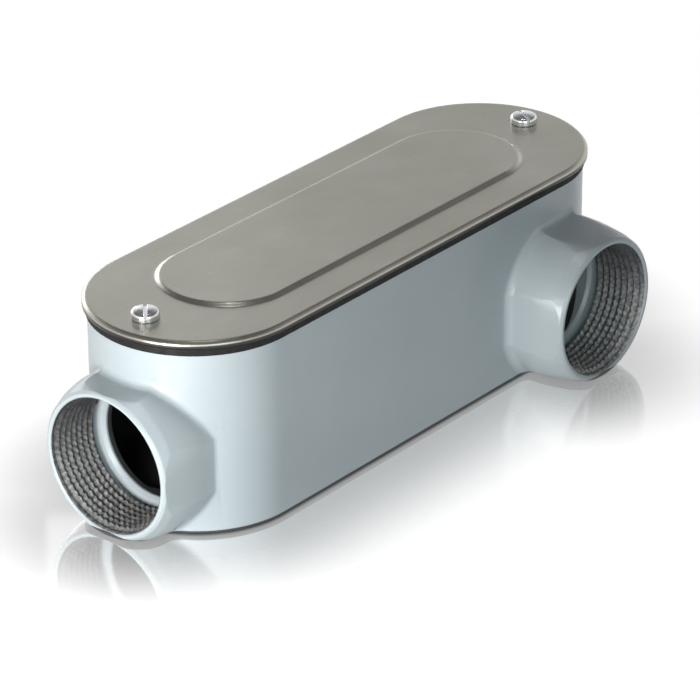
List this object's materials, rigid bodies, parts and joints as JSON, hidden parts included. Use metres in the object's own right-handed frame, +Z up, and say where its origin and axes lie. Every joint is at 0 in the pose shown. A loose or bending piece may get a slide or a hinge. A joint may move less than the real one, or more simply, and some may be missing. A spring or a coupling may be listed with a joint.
{
  "type": "conduit body",
  "caption": "Round-ended cast conduit body with a threaded hub on one end and another on its right side, a gasket and a screwed-on cover with a raised panel.",
  "frame": {"origin": "centre of the body's flat base", "axes": "+X along the body away from the end hub, -Y towards the side hub, +Z up through the cover"},
  "size_m": [0.206, 0.0841, 0.0653],
  "materials": {
    "casting": "light grey enamel over a die casting",
    "gasket": "black sheet rubber",
    "cover": "satin, pressed",
    "screws": "bright zinc plate"
  },
  "bodies": {
    "casting": {"body": "casting", "gasket": "gasket"},
    "lid": {"cover": "cover"},
    "near_screw": {"near_cover_screw": "screws"},
    "far_screw": {"far_cover_screw": "screws"}
  },
  "joints": [
    {"name": "cover_lift", "type": "slide", "parent": "casting", "child": "lid", "axis": [0, 0, 1], "range_m": [0, 0.06]},
    {"name": "near_screw_turn", "type": "hinge", "parent": "lid", "child": "near_screw", "pos_m": [-0.088, 0, 0.0623], "axis": [0, 0, 1], "continuous": true},
    {"name": "far_screw_turn", "type": "hinge", "parent": "lid", "child": "far_screw", "pos_m": [0.088, 0, 0.0623], "axis": [0, 0, 1], "continuous": true}
  ]
}
